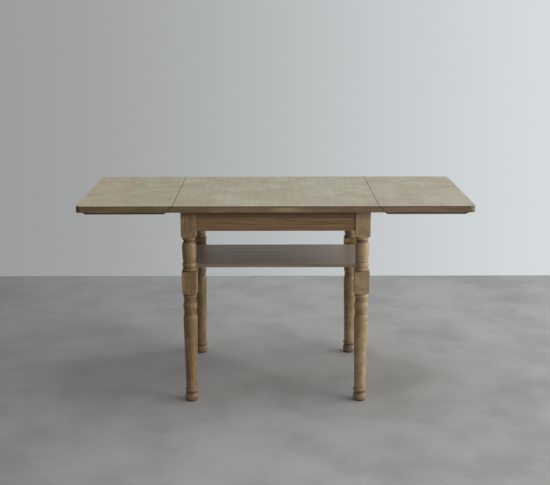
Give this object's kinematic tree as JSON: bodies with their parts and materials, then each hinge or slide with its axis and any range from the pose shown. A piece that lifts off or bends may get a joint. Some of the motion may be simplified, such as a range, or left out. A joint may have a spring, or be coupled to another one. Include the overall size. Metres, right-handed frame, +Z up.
{
  "type": "drop-leaf extension table",
  "caption": "Rectangular drop-leaf dining table with turned legs, a plain apron, a narrow shelf on end rails, and leaves that swing down on rule joints with folding stays.",
  "frame": {"origin": "on the floor, under the centre of the table top", "axes": "+X along the table through the right leaf, -Y to the front, +Z up"},
  "size_m": [1.372, 0.608, 0.72],
  "materials": {
    "oak_top": "stripped and lightly waxed, satin",
    "oak_leg": "stripped and lightly waxed, satin",
    "oak_frame": "stripped and lightly waxed, satin",
    "shelf_board": "thin old varnish, satin",
    "steel": "aged plain steel"
  },
  "bodies": {
    "frame": {"back_apron": "oak_frame", "back_left_leg": "oak_leg", "back_right_leg": "oak_leg", "center_top": "oak_top", "corner_blocks": "oak_frame", "front_apron": "oak_frame", "front_left_leg": "oak_leg", "front_right_leg": "oak_leg", "left_apron": "oak_frame", "left_hinge_fixed_plates": "steel", "left_hinge_fixed_screws": "steel", "left_hinge_pins": "steel", "left_shelf_rail": "oak_frame", "left_stay_apron_bracket": "steel", "left_stay_apron_rivet": "steel", "left_stay_apron_screws": "steel", "right_apron": "oak_frame", "right_hinge_fixed_plates": "steel", "right_hinge_fixed_screws": "steel", "right_hinge_pins": "steel", "right_shelf_rail": "oak_frame", "right_stay_apron_bracket": "steel", "right_stay_apron_rivet": "steel", "right_stay_apron_screws": "steel", "shelf": "shelf_board", "shelf_screws": "steel", "top_button_screws": "steel", "top_buttons": "oak_frame"},
    "left_leaf": {"left_back_batten": "oak_frame", "left_batten_screws": "steel", "left_front_batten": "oak_frame", "left_hinge_moving_plates": "steel", "left_hinge_moving_screws": "steel", "left_leaf": "oak_top", "left_stay_leaf_bracket": "steel", "left_stay_leaf_rivet": "steel", "left_stay_leaf_screws": "steel"},
    "right_leaf": {"right_back_batten": "oak_frame", "right_batten_screws": "steel", "right_front_batten": "oak_frame", "right_hinge_moving_plates": "steel", "right_hinge_moving_screws": "steel", "right_leaf": "oak_top", "right_stay_leaf_bracket": "steel", "right_stay_leaf_rivet": "steel", "right_stay_leaf_screws": "steel"},
    "left_stay_arm": {"left_stay_knuckle_rivet": "steel", "left_stay_lower_arm": "steel"},
    "right_stay_arm": {"right_stay_knuckle_rivet": "steel", "right_stay_lower_arm": "steel"},
    "left_stay_strut": {"left_stay_strut": "steel"},
    "right_stay_strut": {"right_stay_strut": "steel"}
  },
  "joints": [
    {"name": "right_leaf_hinge", "type": "hinge", "parent": "frame", "child": "right_leaf", "pos_m": [0.354, 0, 0.7015], "axis": [0, 1, 0], "range_deg": [0, 90]},
    {"name": "right_stay_arm_swing", "type": "hinge", "parent": "frame", "child": "right_stay_arm", "pos_m": [0.336, 0, 0.6625], "axis": [0, 1, 0], "range_deg": [0, 90]},
    {"name": "right_stay_strut_swing", "type": "hinge", "parent": "right_stay_arm", "child": "right_stay_strut", "pos_m": [0.476, 0, 0.6475], "axis": [0, 1, 0], "range_deg": [-90, 0]},
    {"name": "left_leaf_hinge", "type": "hinge", "parent": "frame", "child": "left_leaf", "pos_m": [-0.354, 0, 0.7015], "axis": [0, -1, 0], "range_deg": [0, 90]},
    {"name": "left_stay_arm_swing", "type": "hinge", "parent": "frame", "child": "left_stay_arm", "pos_m": [-0.336, 0, 0.6625], "axis": [0, -1, 0], "range_deg": [0, 90]},
    {"name": "left_stay_strut_swing", "type": "hinge", "parent": "left_stay_arm", "child": "left_stay_strut", "pos_m": [-0.476, 0, 0.6475], "axis": [0, -1, 0], "range_deg": [-90, 0]}
  ],
  "couplings": [
    {"joint": "right_stay_arm_swing", "follows": "right_leaf_hinge", "ratio": 1},
    {"joint": "right_stay_strut_swing", "follows": "right_leaf_hinge", "ratio": -1},
    {"joint": "left_stay_arm_swing", "follows": "left_leaf_hinge", "ratio": 1},
    {"joint": "left_stay_strut_swing", "follows": "left_leaf_hinge", "ratio": -1}
  ]
}
